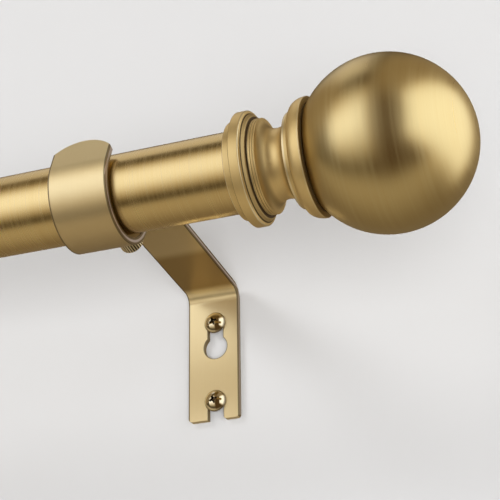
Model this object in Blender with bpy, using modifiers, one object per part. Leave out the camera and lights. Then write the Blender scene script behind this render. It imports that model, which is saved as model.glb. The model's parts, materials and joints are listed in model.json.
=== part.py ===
"""Telescoping curtain rod with two wall brackets and turned ball finials.

Frame: +X along the rod towards the right finial, +Y into the wall, +Z up.  The origin lies on the
back of the right bracket's wall plate, on the solid web between its keyhole and its open slot.
"""

from math import acos, asin, atan2, cos, pi, radians, sin, sqrt

import bmesh
import bpy
from mathutils import Matrix

MM = 0.001

# ---- shared clearances ----
GAP = 0.3 * MM                     # running or seating gap between neighbouring pieces

# ---- tubes ----
OUTER_TUBE_R = 12.7 * MM           # one inch tube
TUBE_WALL = 0.7 * MM
TELESCOPE_GAP = 0.9 * MM           # between the outer tube's bore and the inner tube
OUTER_TUBE_LENGTH = 400.0 * MM
INNER_TUBE_LENGTH = 400.0 * MM
FINIAL_REACH = 37.55 * MM          # bare tube between a bracket and its finial
THIN_REACH = 45.85 * MM            # bare thin tube between the outer tube's mouth and the left bracket

# ---- bracket strap ----
STRAP_WIDTH = 19.4 * MM
STRAP_THICK = 2.2 * MM
CRADLE_CLEARANCE = 1.25 * MM       # between the outer tube and the inside of the hook
PROJECTION = 95.6 * MM             # wall to the middle of the rod
TONGUE_ANGLE = radians(21.0)       # where the lip leaves the round hook
TONGUE_LENGTH = 9.65 * MM
TONGUE_END_R = 13.3 * MM           # rounded end of the lip
BACK_LEG = 8.1 * MM                # upright part behind the rod, above the rod's middle
HOOK_BEND_R = 3.0 * MM             # inside radius where the hook turns into the arm
ARM_DROP = radians(5.96)           # the arm falls towards the wall
WALL_BEND_R = 4.0 * MM             # inside radius where the arm turns into the plate
PLATE_FOOT = 45.0 * MM             # rod's middle to the plate's lower edge
PLATE_CORNER_R = 1.2 * MM

# ---- holes in the wall plate, heights measured down from the rod's middle ----
HOLE_OFFSET = 0.8 * MM             # the holes stand a little right of the middle
KEYHOLE_DROP = 17.6 * MM
HEAD_CLEARANCE = 0.5 * MM          # round a screw's head in the keyhole
SHANK_CLEARANCE = 0.9 * MM         # beside a screw's shank in a slot
UPPER_SLOT_TOP = 6.0 * MM
OPEN_SLOT_DEPTH = 9.1 * MM         # up from the plate's lower edge

# ---- wall screws ----
SCREW_R = 2.1 * MM
SCREW_HEAD_R = 4.0 * MM
SCREW_HEAD_HEIGHT = 2.6 * MM
SCREW_LENGTH = 32.0 * MM
SCREW_POINT = 5.0 * MM
RECESS_SPAN = 4.4 * MM
RECESS_WIDTH = 1.0 * MM
RECESS_DEPTH = 1.5 * MM

# ---- thumb screws ----
THUMB_ANGLE = radians(12.0)        # the screw's axis points this far below level
THUMB_R = 1.95 * MM
THUMB_HEAD_R = 4.0 * MM
THUMB_HEAD_HEIGHT = 4.5 * MM
THUMB_NECK_R = 2.8 * MM
THUMB_NECK = 2.4 * MM
THUMB_EDGE = 0.4 * MM
TIP_R = 1.6 * MM
TIP_LENGTH = 1.0 * MM

# ---- end plugs, bushes and washers ----
PLUG_LENGTH = 18.0 * MM
PLUG_FLANGE = 1.0 * MM
ADAPTER_SKIRT = 2.0 * MM
GUIDE_SPIGOT = 12.0 * MM
GUIDE_FLANGE = 4.0 * MM
GUIDE_WALL = 2.0 * MM
MOUTH_SLEEVE = 15.0 * MM
MOUTH_FLANGE = 1.2 * MM
WASHER_THICK = 1.0 * MM
STUD_R = 3.0 * MM
STUD_EDGE = 0.5 * MM
STUD_IN_PLUG = 13.0 * MM
STUD_IN_BALL = 10.0 * MM

# ---- finial ----
SOCKET_DEPTH = 5.2 * MM            # the collar covers the tube's end this far
RING_STEP = 2.5 * MM               # first ring stands this far outside the tube
BAND_STEP = 2.5 * MM               # second ring stands this far outside the first
RING_WIDTH = 2.75 * MM
BAND_WIDTH = 3.25 * MM
BAND_EDGE = 0.3 * MM
SHOULDER_WIDTH = 1.6 * MM          # sloping face after the second ring
SHOULDER_RISE = 0.9 * MM           # the sloping face ends this far above the bead
SHOULDER_EDGE = 0.5 * MM
BEAD_WIDTH = 2.35 * MM
BEAD_DROP = 0.5 * MM               # the bead lies this far below the first ring
COVE_WIDTH = 8.4 * MM
COVE_DEPTH = 3.6 * MM
COVE_BRIM = 0.3 * MM
LIP_WIDTH = 2.1 * MM
LIP_DROP = 0.4 * MM                # the lip lies this far below the first ring
CUP_STEP = 1.35 * MM               # the cup starts this far outside the lip
CUP_WIDTH = 4.45 * MM
CUP_RISE = 2.25 * MM
CUP_RIM = 1.8 * MM                 # flat rim round the ball's seat
BALL_R = 26.7 * MM
BALL_WALL = 1.0 * MM
BALL_HOLE_R = 5.0 * MM
INSERT_FLANGE = 1.4 * MM
INSERT_FLANGE_R = 6.5 * MM
INSERT_LENGTH = 12.0 * MM

# ---- worked out ----
OUTER_BORE_R = OUTER_TUBE_R - TUBE_WALL
INNER_TUBE_R = OUTER_BORE_R - TELESCOPE_GAP
INNER_BORE_R = INNER_TUBE_R - TUBE_WALL
HOOK_IN_R = OUTER_TUBE_R + CRADLE_CLEARANCE
HOOK_OUT_R = HOOK_IN_R + STRAP_THICK
THUMB_SHANK = HOOK_OUT_R - INNER_TUBE_R - TIP_LENGTH - GAP   # shoulder just clear of the hook
KEYHOLE_R = SCREW_HEAD_R + HEAD_CLEARANCE
SLOT_WIDTH = 2 * (SCREW_R + SHANK_CLEARANCE)
LOWER_SLOT_TOP = PLATE_FOOT - OPEN_SLOT_DEPTH
ROD_Y = -PROJECTION
ROD_Z = (KEYHOLE_DROP + KEYHOLE_R + LOWER_SLOT_TOP) / 2
COLLAR_X = STRAP_WIDTH / 2 + FINIAL_REACH          # open end of the right collar
SOCKET_R = OUTER_TUBE_R + GAP
STUD_BORE_R = STUD_R + GAP
WASHER_Z = SOCKET_DEPTH - GAP - WASHER_THICK       # along the finial, from its open end
FLANGE_Z = WASHER_Z - GAP                          # outer face of an end plug
TUBE_END_Z = FLANGE_Z - PLUG_FLANGE - GAP
RING_R = OUTER_TUBE_R + RING_STEP
BAND_R = RING_R + BAND_STEP
BEAD_R = RING_R - BEAD_DROP
LIP_R = RING_R - LIP_DROP
CUP_IN_R = LIP_R + CUP_STEP
CUP_OUT_R = CUP_IN_R + CUP_RISE
SEAT_R = CUP_OUT_R - CUP_RIM
BEAD_Z = RING_WIDTH + BAND_WIDTH + SHOULDER_WIDTH
COVE_Z = BEAD_Z + BEAD_WIDTH
LIP_Z = COVE_Z + COVE_WIDTH
CUP_Z = LIP_Z + LIP_WIDTH
COLLAR_END_Z = CUP_Z + CUP_WIDTH
BALL_Z = COLLAR_END_Z + sqrt((BALL_R + GAP) ** 2 - SEAT_R ** 2)
INSERT_Z = BALL_Z - sqrt((BALL_R + GAP) ** 2 - STUD_BORE_R ** 2) + 2 * GAP
MOUTH_X = COLLAR_X + TUBE_END_Z - OUTER_TUBE_LENGTH          # open end of the outer tube
BRACKET_SPACING = THIN_REACH + STRAP_WIDTH / 2 - MOUTH_X     # between the middles of the brackets
OUTER_TUBE_X = MOUTH_X + OUTER_TUBE_LENGTH / 2
INNER_TUBE_X = -BRACKET_SPACING - COLLAR_X - TUBE_END_Z + INNER_TUBE_LENGTH / 2

RIGHT, LEFT = 1, -1


# ---- materials ----
def finish(name, colour, roughness, metallic):
    material = bpy.data.materials.new(name)
    material.use_nodes = True
    shader = material.node_tree.nodes["Principled BSDF"]
    shader.inputs["Base Color"].default_value = (*colour, 1.0)
    shader.inputs["Roughness"].default_value = roughness
    shader.inputs["Metallic"].default_value = metallic
    return material


def satin_brass(name):
    return finish(name, (0.62, 0.44, 0.20), 0.34, 1.0)


def bright_brass(name):
    return finish(name, (0.78, 0.60, 0.32), 0.16, 1.0)


def zinc_steel(name):
    return finish(name, (0.62, 0.62, 0.60), 0.30, 1.0)


def nylon(name):
    return finish(name, (0.80, 0.78, 0.70), 0.50, 0.0)


# ---- helpers ----
def new_collection(name):
    collection = bpy.data.collections.new(name)
    bpy.context.scene.collection.children.link(collection)
    return collection


def mesh_object(name, bm, collection):
    mesh = bpy.data.meshes.new(name)
    bm.to_mesh(mesh)
    bm.free()
    item = bpy.data.objects.new(name, mesh)
    collection.objects.link(item)
    return item


def arc(middle_z, middle_r, radius, start, end, count):
    """Points (z, r) on a circle about (middle_z, middle_r), angles from the +r direction to +z."""
    turn = (end - start) / count
    angles = [start + turn * step for step in range(count + 1)]
    return [(middle_z + radius * sin(a), middle_r + radius * cos(a)) for a in angles]


def turned(name, outline, steps, material, closed=True):
    """Spin an outline of (height, radius) about the piece's own Z axis, outer side listed downwards."""
    bm = bmesh.new()
    corners = [bm.verts.new((radius, 0.0, height)) for height, radius in outline]
    for first, second in zip(corners, corners[1:]):
        bm.edges.new((first, second))
    if closed:
        bm.edges.new((corners[-1], corners[0]))
    item = mesh_object(name, bm, parts)
    screw = item.modifiers.new("turn", "SCREW")
    screw.steps = steps
    screw.render_steps = steps
    screw.use_merge_vertices = True
    screw.merge_threshold = 0.00001
    screw.use_smooth_shade = True
    item.data.materials.append(material)
    return item


def point_along(item, location, side):
    """Turn the piece's +Z to the right (side 1) or to the left (side -1) and set its place."""
    item.rotation_euler = (0.0, side * pi / 2, 0.0)
    item.location = location


def sleeve(low, high, inner, outer):
    return [(high, inner), (high, outer), (low, outer), (low, inner)]


def outline_cutter(name, points, half_depth):
    """A cutter from a flat outline of (x, z), reaching half_depth to both sides along Y."""
    curve = bpy.data.curves.new(name, "CURVE")
    curve.dimensions = "2D"
    curve.fill_mode = "BOTH"
    curve.extrude = half_depth
    spline = curve.splines.new("POLY")
    spline.points.add(len(points) - 1)
    for corner, (x, z) in zip(spline.points, points):
        corner.co = (x, z, 0.0, 1.0)
    spline.use_cyclic_u = True
    flat = bpy.data.objects.new(name + "_outline", curve)
    cutters.objects.link(flat)
    bpy.context.view_layer.update()
    shape = flat.evaluated_get(bpy.context.evaluated_depsgraph_get())
    mesh = bpy.data.meshes.new_from_object(shape)
    bm = bmesh.new()
    bm.from_mesh(mesh)
    bmesh.ops.remove_doubles(bm, verts=bm.verts, dist=0.00001)
    bmesh.ops.recalc_face_normals(bm, faces=bm.faces)
    bm.to_mesh(mesh)
    bm.free()
    cutter = bpy.data.objects.new(name, mesh)
    cutter.rotation_euler = (pi / 2, 0.0, 0.0)
    cutters.objects.link(cutter)
    bpy.data.objects.remove(flat)
    return cutter


def cut(item, cutter):
    cutter.hide_render = True
    cutter.display_type = "WIRE"
    boolean = item.modifiers.new(cutter.name, "BOOLEAN")
    boolean.operation = "DIFFERENCE"
    boolean.solver = "EXACT"
    boolean.object = cutter


# ---- bracket ----
def strap_rows():
    """The strap's middle surface seen from its side: (y, z) about the rod's middle, lip first."""
    middle_r = HOOK_IN_R + STRAP_THICK / 2
    hook_bend = HOOK_BEND_R + STRAP_THICK / 2
    wall_bend = WALL_BEND_R + STRAP_THICK / 2
    lip_start = (-middle_r * cos(TONGUE_ANGLE), middle_r * sin(TONGUE_ANGLE))
    lip_end = (lip_start[0] + TONGUE_LENGTH * sin(TONGUE_ANGLE),
               lip_start[1] + TONGUE_LENGTH * cos(TONGUE_ANGLE))
    rows = [lip_end]
    hook_steps = 20
    for step in range(hook_steps + 1):
        a = pi - TONGUE_ANGLE + (pi + TONGUE_ANGLE) * step / hook_steps
        rows.append((middle_r * cos(a), middle_r * sin(a)))
    bend_steps = 7
    bend_y = middle_r + hook_bend
    for step in range(bend_steps + 1):
        a = pi - (pi / 2 + ARM_DROP) * step / bend_steps
        rows.append((bend_y + hook_bend * cos(a), BACK_LEG + hook_bend * sin(a)))
    plate_y = PROJECTION - STRAP_THICK / 2
    arm_y, arm_z = rows[-1]
    corner_y = plate_y - wall_bend
    start_y = corner_y + wall_bend * sin(ARM_DROP)
    corner_z = arm_z - (start_y - arm_y) * sin(ARM_DROP) / cos(ARM_DROP) - wall_bend * cos(ARM_DROP)
    for step in range(bend_steps + 1):
        a = pi / 2 - ARM_DROP - (pi / 2 - ARM_DROP) * step / bend_steps
        rows.append((corner_y + wall_bend * cos(a), corner_z + wall_bend * sin(a)))
    rows.append((plate_y, -PLATE_FOOT))
    return rows


def strap_columns():
    """Places across the strap, closer together at the plate's rounded corners."""
    half = STRAP_WIDTH / 2
    edge = [half - PLATE_CORNER_R * (1 - sin(a * pi / 6)) for a in (0, 1, 2, 3)]
    middle = [(half - PLATE_CORNER_R) * k / 4 for k in (1, 2, 3)]
    right_side = middle + edge
    return [-x for x in reversed(right_side)] + [0.0] + right_side


def lip_setback(x):
    return TONGUE_END_R - sqrt(TONGUE_END_R ** 2 - x ** 2)


def corner_setback(x):
    inside = abs(x) - (STRAP_WIDTH / 2 - PLATE_CORNER_R)
    if inside <= 0.0:
        return 0.0
    return PLATE_CORNER_R - sqrt(max(PLATE_CORNER_R ** 2 - inside ** 2, 0.0))


def keyhole_outline():
    """Round hole with a narrower slot above it, round at the top."""
    half = SLOT_WIDTH / 2
    meet = asin(half / KEYHOLE_R)
    hole_steps = 20
    points = []
    for step in range(hole_steps + 1):
        a = meet + (2 * pi - 2 * meet) * step / hole_steps
        points.append((HOLE_OFFSET + KEYHOLE_R * sin(a), -KEYHOLE_DROP + KEYHOLE_R * cos(a)))
    return points + slot_top(UPPER_SLOT_TOP)


def slot_top(top):
    """Half round from the slot's left side over to its right side."""
    half = SLOT_WIDTH / 2
    steps = 8
    turns = [pi - pi * step / steps for step in range(steps + 1)]
    return [(HOLE_OFFSET + half * cos(a), -top - half + half * sin(a)) for a in turns]


def open_slot_outline():
    half = SLOT_WIDTH / 2
    below = -PLATE_FOOT - STRAP_THICK
    return [(HOLE_OFFSET + half, below), (HOLE_OFFSET - half, below)] + slot_top(LOWER_SLOT_TOP)


def make_bracket(name, x):
    rows = strap_rows()
    columns = strap_columns()
    bm = bmesh.new()
    chain = [bm.verts.new((columns[0], y, z)) for y, z in rows]
    edges = [bm.edges.new(pair) for pair in zip(chain, chain[1:])]
    for before, after in zip(columns, columns[1:]):
        grown = bmesh.ops.extrude_edge_only(bm, edges=edges)["geom"]
        fresh = [part for part in grown if isinstance(part, bmesh.types.BMVert)]
        bmesh.ops.translate(bm, verts=fresh, vec=(after - before, 0.0, 0.0))
        row_ends = set(fresh)
        edges = [part for part in grown if isinstance(part, bmesh.types.BMEdge)
                 and set(part.verts) <= row_ends]
    lip_y, lip_z = rows[0]
    for vert in bm.verts:
        if abs(vert.co.y - lip_y) < GAP / 10 and abs(vert.co.z - lip_z) < GAP / 10:
            back = lip_setback(vert.co.x)
            vert.co.y -= back * sin(TONGUE_ANGLE)
            vert.co.z -= back * cos(TONGUE_ANGLE)
        elif vert.co.z < -PLATE_FOOT + GAP / 10:
            vert.co.z += corner_setback(vert.co.x)
    strap = mesh_object(name, bm, parts)
    strap.location = (x, ROD_Y, ROD_Z)
    strap.data.materials.append(satin_brass(name))
    wall = strap.modifiers.new("thickness", "SOLIDIFY")
    wall.thickness = STRAP_THICK
    wall.offset = 0.0
    wall.use_even_offset = True
    for label, outline in (("keyhole", keyhole_outline()), ("open_slot", open_slot_outline())):
        cutter = outline_cutter(name + "_" + label, outline, 3 * STRAP_THICK)
        cutter.location = (x, -STRAP_THICK / 2, ROD_Z)
        cut(strap, cutter)
    bm = bmesh.new()
    bmesh.ops.create_cone(bm, cap_ends=True, segments=20, radius1=THUMB_R + GAP,
                          radius2=THUMB_R + GAP, depth=4 * STRAP_THICK)
    hole = mesh_object(name + "_thread", bm, cutters)
    hole.rotation_euler = (-pi / 2 - THUMB_ANGLE, 0.0, 0.0)
    reach = HOOK_IN_R + STRAP_THICK / 2
    hole.location = (x, ROD_Y + reach * cos(THUMB_ANGLE), ROD_Z - reach * sin(THUMB_ANGLE))
    cut(strap, hole)


# ---- fasteners ----
def make_wall_screw(name, x, top):
    """Pan head cross recess screw hanging in the top of a slot, its point in the wall."""
    sphere_r = (SCREW_HEAD_R ** 2 + SCREW_HEAD_HEIGHT ** 2) / (2 * SCREW_HEAD_HEIGHT)
    full = atan2(SCREW_HEAD_R, sphere_r - SCREW_HEAD_HEIGHT)
    steps = 5
    head = []
    for step in range(steps + 1):
        a = full * step / steps
        head.append((SCREW_HEAD_HEIGHT - sphere_r * (1 - cos(a)), sphere_r * sin(a)))
    shank = [(0.0, SCREW_R), (-SCREW_LENGTH + SCREW_POINT, SCREW_R), (-SCREW_LENGTH, 0.0)]
    item = turned(name, head + shank, 20, bright_brass(name), closed=False)
    item.rotation_euler = (pi / 2, 0.0, 0.0)
    item.location = (x + HOLE_OFFSET, -STRAP_THICK - GAP, ROD_Z - top - SCREW_R - GAP)
    for turn in (radians(20.0), radians(110.0)):
        bm = bmesh.new()
        bmesh.ops.create_cube(bm, size=1.0)
        bmesh.ops.scale(bm, vec=(RECESS_SPAN, 2 * RECESS_DEPTH, RECESS_WIDTH), verts=bm.verts)
        bmesh.ops.rotate(bm, verts=bm.verts, matrix=Matrix.Rotation(turn, 3, "Y"))
        bar = mesh_object(f"{name}_bar_{round(turn, 2)}", bm, cutters)
        bar.location = item.location
        bar.location.y -= SCREW_HEAD_HEIGHT
        cut(item, bar)


def make_thumb_screw(side_name, x, tube_r):
    """Knurled screw through the back of the hook, with a soft tip that stops against the tube."""
    across = cos(THUMB_ANGLE)
    down = sin(THUMB_ANGLE)

    def place(item, reach):
        item.rotation_euler = (-pi / 2 - THUMB_ANGLE, 0.0, 0.0)
        item.location = (x, ROD_Y + reach * across, ROD_Z - reach * down)

    tip = turned("thumb_tip_" + side_name, [(TIP_LENGTH, 0.0), (TIP_LENGTH, TIP_R), (0.0, TIP_R),
                                            (0.0, 0.0)], 16, nylon("thumb_tip_" + side_name),
                 closed=False)
    place(tip, tube_r + GAP)
    neck = THUMB_SHANK + THUMB_NECK
    top = neck + THUMB_HEAD_HEIGHT
    flat_r = THUMB_HEAD_R - THUMB_EDGE
    body = [(top, 0.0), (top, flat_r), (top - THUMB_EDGE, THUMB_HEAD_R),
            (neck + THUMB_EDGE, THUMB_HEAD_R), (neck, flat_r), (neck, THUMB_NECK_R),
            (THUMB_SHANK, THUMB_NECK_R), (THUMB_SHANK, THUMB_R), (0.0, THUMB_R), (0.0, 0.0)]
    name = "thumb_screw_" + side_name
    screw = turned(name, body, 24, bright_brass(name), closed=False)
    place(screw, tube_r + TIP_LENGTH + 2 * GAP)


# ---- rod ----
def make_tubes():
    half = OUTER_TUBE_LENGTH / 2
    outer = turned("outer_tube", sleeve(-half, half, OUTER_BORE_R, OUTER_TUBE_R), 40,
                   satin_brass("outer_tube"))
    point_along(outer, (OUTER_TUBE_X, ROD_Y, ROD_Z), RIGHT)
    half = INNER_TUBE_LENGTH / 2
    inner = turned("inner_tube", sleeve(-half, half, INNER_BORE_R, INNER_TUBE_R), 40,
                   satin_brass("inner_tube"))
    point_along(inner, (INNER_TUBE_X, ROD_Y, ROD_Z), RIGHT)


def make_bushes():
    hole = INNER_TUBE_R + GAP
    lining = OUTER_BORE_R - GAP
    mouth = [(GAP + MOUTH_FLANGE, hole), (GAP + MOUTH_FLANGE, OUTER_TUBE_R), (GAP, OUTER_TUBE_R),
             (GAP, lining), (-MOUTH_SLEEVE, lining), (-MOUTH_SLEEVE, hole)]
    bush = turned("mouth_bush", mouth, 40, nylon("mouth_bush"))
    point_along(bush, (MOUTH_X, ROD_Y, ROD_Z), LEFT)
    end_x = INNER_TUBE_X + INNER_TUBE_LENGTH / 2
    spigot = INNER_BORE_R - GAP
    bore = spigot - GUIDE_WALL
    guide = [(GAP + GUIDE_FLANGE, bore), (GAP + GUIDE_FLANGE, lining), (GAP, lining), (GAP, spigot),
             (-GUIDE_SPIGOT, spigot), (-GUIDE_SPIGOT, bore)]
    bush = turned("guide_bush", guide, 36, nylon("guide_bush"))
    point_along(bush, (end_x, ROD_Y, ROD_Z), RIGHT)


def make_end_plugs():
    """Threaded plugs that take the finials; the left one also fills the socket round a thin tube."""
    top = GAP + PLUG_FLANGE
    plug = OUTER_BORE_R - GAP
    right = [(top, STUD_BORE_R), (top, OUTER_TUBE_R), (GAP, OUTER_TUBE_R), (GAP, plug),
             (-PLUG_LENGTH, plug), (-PLUG_LENGTH, STUD_BORE_R)]
    item = turned("end_plug_right", right, 36, nylon("end_plug_right"))
    point_along(item, (COLLAR_X + TUBE_END_Z, ROD_Y, ROD_Z), RIGHT)
    plug = INNER_BORE_R - GAP
    skirt = INNER_TUBE_R + GAP
    left = [(top, STUD_BORE_R), (top, OUTER_TUBE_R), (-ADAPTER_SKIRT, OUTER_TUBE_R),
            (-ADAPTER_SKIRT, skirt), (GAP, skirt), (GAP, plug), (-PLUG_LENGTH, plug),
            (-PLUG_LENGTH, STUD_BORE_R)]
    item = turned("end_plug_left", left, 36, nylon("end_plug_left"))
    point_along(item, (-BRACKET_SPACING - COLLAR_X - TUBE_END_Z, ROD_Y, ROD_Z), LEFT)


# ---- finial ----
def collar_outline():
    cup_steps = 4
    cup = []
    for step in range(cup_steps + 1):
        a = pi / 2 * step / cup_steps
        cup.append((COLLAR_END_Z - CUP_WIDTH * sin(a), CUP_IN_R + CUP_RISE * cos(a)))
    cove_steps = 8
    middle = COVE_Z + COVE_WIDTH / 2
    brim = BEAD_R - COVE_BRIM
    cove = []
    for step in range(cove_steps + 1):
        a = pi * step / cove_steps
        cove.append((middle + COVE_WIDTH / 2 * cos(a), brim - COVE_DEPTH * sin(a)))
    band_z = RING_WIDTH + BAND_WIDTH
    rise_r = BEAD_R + SHOULDER_RISE
    rings = [(BEAD_Z, rise_r - SHOULDER_EDGE), (BEAD_Z, rise_r), (band_z + BAND_EDGE, BAND_R - BAND_EDGE),
             (band_z, BAND_R), (RING_WIDTH, BAND_R), (RING_WIDTH, RING_R), (0.0, RING_R)]
    socket = [(0.0, SOCKET_R), (SOCKET_DEPTH, SOCKET_R), (SOCKET_DEPTH, STUD_BORE_R)]
    seat_r = BALL_R + GAP
    first = asin(STUD_BORE_R / seat_r)
    last = asin(SEAT_R / seat_r)
    seat_steps = 3
    seat = []
    for step in range(seat_steps + 1):
        a = first + (last - first) * step / seat_steps
        seat.append((BALL_Z - seat_r * cos(a), seat_r * sin(a)))
    return cup + [(CUP_Z, LIP_R), (LIP_Z, LIP_R)] + cove + [(COVE_Z, BEAD_R)] + rings + socket + seat


def ball_outline():
    hole = asin(BALL_HOLE_R / BALL_R)
    outer = arc(0.0, 0.0, BALL_R, pi / 2, hole - pi / 2, 16)
    outer[0] = (BALL_R, 0.0)
    within = BALL_R - BALL_WALL
    inner = arc(0.0, 0.0, within, acos(BALL_HOLE_R / within) * -1, pi / 2, 12)
    inner[-1] = (within, 0.0)
    return outer + inner


def make_finial(side_name, side, open_end_x):
    def place(item, along):
        point_along(item, (open_end_x + side * along, ROD_Y, ROD_Z), side)

    name = "finial_collar_" + side_name
    place(turned(name, collar_outline(), 36, satin_brass(name)), 0.0)
    name = "finial_ball_" + side_name
    place(turned(name, ball_outline(), 36, satin_brass(name), closed=False), BALL_Z)
    name = "finial_washer_" + side_name
    washer = sleeve(0.0, WASHER_THICK, STUD_BORE_R, SOCKET_R - 2 * GAP)
    place(turned(name, washer, 32, nylon(name)), WASHER_Z)
    name = "finial_insert_" + side_name
    outer = BALL_HOLE_R - GAP
    shelf = BALL_Z - sqrt((BALL_R - BALL_WALL) ** 2 - INSERT_FLANGE_R ** 2) + GAP - INSERT_Z
    insert = [(INSERT_LENGTH, STUD_BORE_R), (INSERT_LENGTH, outer), (shelf + INSERT_FLANGE, outer),
              (shelf + INSERT_FLANGE, INSERT_FLANGE_R), (shelf, INSERT_FLANGE_R), (shelf, outer),
              (0.0, outer), (0.0, STUD_BORE_R)]
    place(turned(name, insert, 24, zinc_steel(name)), INSERT_Z)
    name = "finial_stud_" + side_name
    low = TUBE_END_Z - STUD_IN_PLUG
    high = INSERT_Z + STUD_IN_BALL
    end_r = STUD_R - STUD_EDGE
    stud = [(high - low, 0.0), (high - low, end_r), (high - low - STUD_EDGE, STUD_R),
            (STUD_EDGE, STUD_R), (0.0, end_r), (0.0, 0.0)]
    place(turned(name, stud, 16, zinc_steel(name), closed=False), low)


# ---- build ----
for old in list(bpy.data.objects):
    bpy.data.objects.remove(old, do_unlink=True)
parts = new_collection("curtain_rod_with_brackets")
cutters = new_collection("cutters")

make_tubes()
make_bushes()
make_end_plugs()
for side_name, bracket_x, held_r in (("right", 0.0, OUTER_TUBE_R),
                                     ("left", -BRACKET_SPACING, INNER_TUBE_R)):
    make_bracket("bracket_" + side_name, bracket_x)
    make_wall_screw(f"wall_screw_{side_name}_upper", bracket_x, UPPER_SLOT_TOP)
    make_wall_screw(f"wall_screw_{side_name}_lower", bracket_x, LOWER_SLOT_TOP)
    make_thumb_screw(side_name, bracket_x, held_r)
make_finial("right", RIGHT, COLLAR_X)
make_finial("left", LEFT, -BRACKET_SPACING - COLLAR_X)
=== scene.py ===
import json
from math import asin, atan2, cos, hypot, pi, radians, sin, sqrt

import bmesh
import bpy
from mathutils import Matrix, Vector


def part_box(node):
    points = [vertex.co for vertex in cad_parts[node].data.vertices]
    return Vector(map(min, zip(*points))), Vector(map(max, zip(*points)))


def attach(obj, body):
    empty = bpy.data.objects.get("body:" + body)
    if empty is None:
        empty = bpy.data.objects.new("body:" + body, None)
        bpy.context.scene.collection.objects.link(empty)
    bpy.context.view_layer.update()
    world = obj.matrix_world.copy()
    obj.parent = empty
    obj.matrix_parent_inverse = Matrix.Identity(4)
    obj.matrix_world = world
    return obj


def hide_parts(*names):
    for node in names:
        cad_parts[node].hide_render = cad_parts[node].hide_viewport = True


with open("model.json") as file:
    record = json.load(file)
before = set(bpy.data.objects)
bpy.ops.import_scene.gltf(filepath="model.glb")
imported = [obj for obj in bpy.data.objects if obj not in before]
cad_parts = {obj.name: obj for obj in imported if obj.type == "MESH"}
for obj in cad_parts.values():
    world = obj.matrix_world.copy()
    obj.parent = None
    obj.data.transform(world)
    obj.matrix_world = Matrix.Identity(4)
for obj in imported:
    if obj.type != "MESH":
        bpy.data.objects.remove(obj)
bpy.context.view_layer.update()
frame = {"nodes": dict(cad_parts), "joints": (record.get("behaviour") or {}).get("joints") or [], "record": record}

mm = 0.001
tiny = 0.001 * mm  # points nearer than this are one
near = 0.02 * mm  # points nearer than this lie in one place
joints = {joint["name"]: joint for joint in frame["joints"]}
bodyOf = {node: body for body, nodes in frame["record"]["behaviour"]["bodies"].items()
          for node in nodes}

rodLow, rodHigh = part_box("outer_tube")
rodMiddle = Vector((0.0, (rodLow.y + rodHigh.y) / 2, (rodLow.z + rodHigh.z) / 2))
outerTubeR = (rodHigh.z - rodLow.z) / 2
innerTubeR = (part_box("inner_tube")[1].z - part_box("inner_tube")[0].z) / 2
gap = 0.3 * mm  # running gap between neighbouring pieces, as in the frame


def linked(name, data):
    item = bpy.data.objects.new(name, data)
    bpy.context.scene.collection.objects.link(item)
    return item


def meshOf(name, bm):
    mesh = bpy.data.meshes.new(name)
    bm.to_mesh(mesh)
    bm.free()
    return mesh


# camera and stage first

camera = dict(spot=(0.18514, -0.45351, -0.16994), tilt=114.19, turn=21.65, roll=-0.53,
              lens=102.74, sensor=36.0, shift=(0.04424, 0.00476))


def makeCamera():
    data = bpy.data.cameras.new("studioCamera")
    data.lens = camera["lens"]
    data.sensor_width = camera["sensor"]
    data.shift_x, data.shift_y = camera["shift"]
    data.clip_start = 0.01
    item = linked("studioCamera", data)
    turn = Matrix.Rotation(radians(camera["turn"]), 4, "Z")
    tilt = Matrix.Rotation(radians(camera["tilt"]), 4, "X")
    roll = Matrix.Rotation(radians(camera["roll"]), 4, "Z")
    item.matrix_world = Matrix.Translation(camera["spot"]) @ turn @ tilt @ roll
    bpy.context.scene.camera = item


# node trees

class Value:
    # a socket that takes part in sums

    def __init__(self, tree, socket):
        self.tree = tree
        self.socket = socket

    def math(self, operation, first, second=0.0):
        return self.tree.node("ShaderNodeMath", dict(operation=operation), {0: first, 1: second})

    def __add__(self, other):
        return self.math("ADD", self, other)

    def __radd__(self, other):
        return self.math("ADD", other, self)

    def __sub__(self, other):
        return self.math("SUBTRACT", self, other)

    def __rsub__(self, other):
        return self.math("SUBTRACT", other, self)

    def __mul__(self, other):
        return self.math("MULTIPLY", self, other)

    def __rmul__(self, other):
        return self.math("MULTIPLY", other, self)

    def __truediv__(self, other):
        return self.math("DIVIDE", self, other)

    def __rtruediv__(self, other):
        return self.math("DIVIDE", other, self)

    def __neg__(self):
        return self.math("MULTIPLY", self, -1.0)

    def __abs__(self):
        return self.math("ABSOLUTE", self)

    def __pow__(self, other):
        return self.math("POWER", self, other)


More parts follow.
